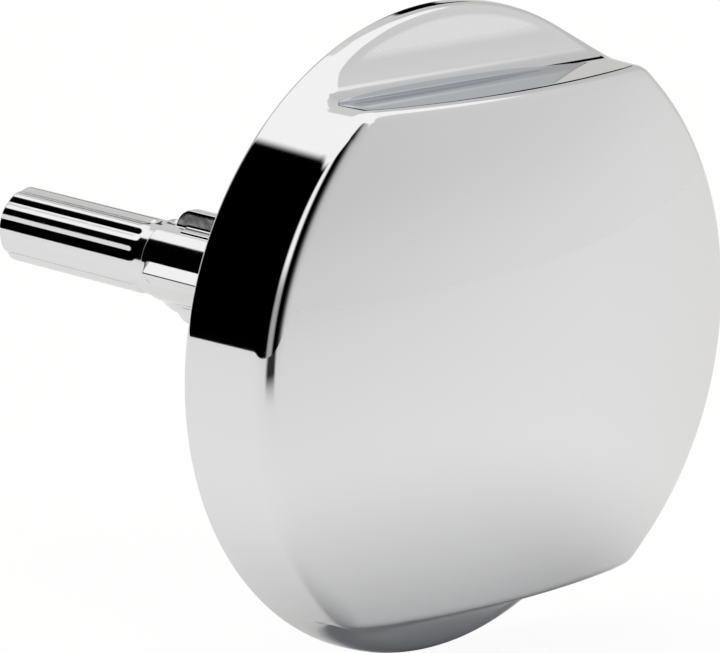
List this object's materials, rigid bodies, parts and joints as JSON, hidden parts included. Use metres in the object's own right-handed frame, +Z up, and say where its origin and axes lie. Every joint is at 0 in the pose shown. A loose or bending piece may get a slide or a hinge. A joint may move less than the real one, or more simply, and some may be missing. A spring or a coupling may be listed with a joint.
{
  "type": "bath waste control knob",
  "caption": "Round domed turning knob with straight finger grips above and below, a hollow back and a finned, splined stem that works a bath overflow waste.",
  "frame": {"origin": "on the stem's axis in the plane of the rim's back edge", "axes": "+Y along the stem towards its tip, so the domed face looks along -Y; +Z up, square to the straight finger grips; +X to the right as seen from the front"},
  "size_m": [0.072, 0.0843, 0.072],
  "materials": {
    "plating": "bright mirror plating"
  },
  "bodies": {
    "root": {"control_knob": "plating"}
  },
  "joints": []
}
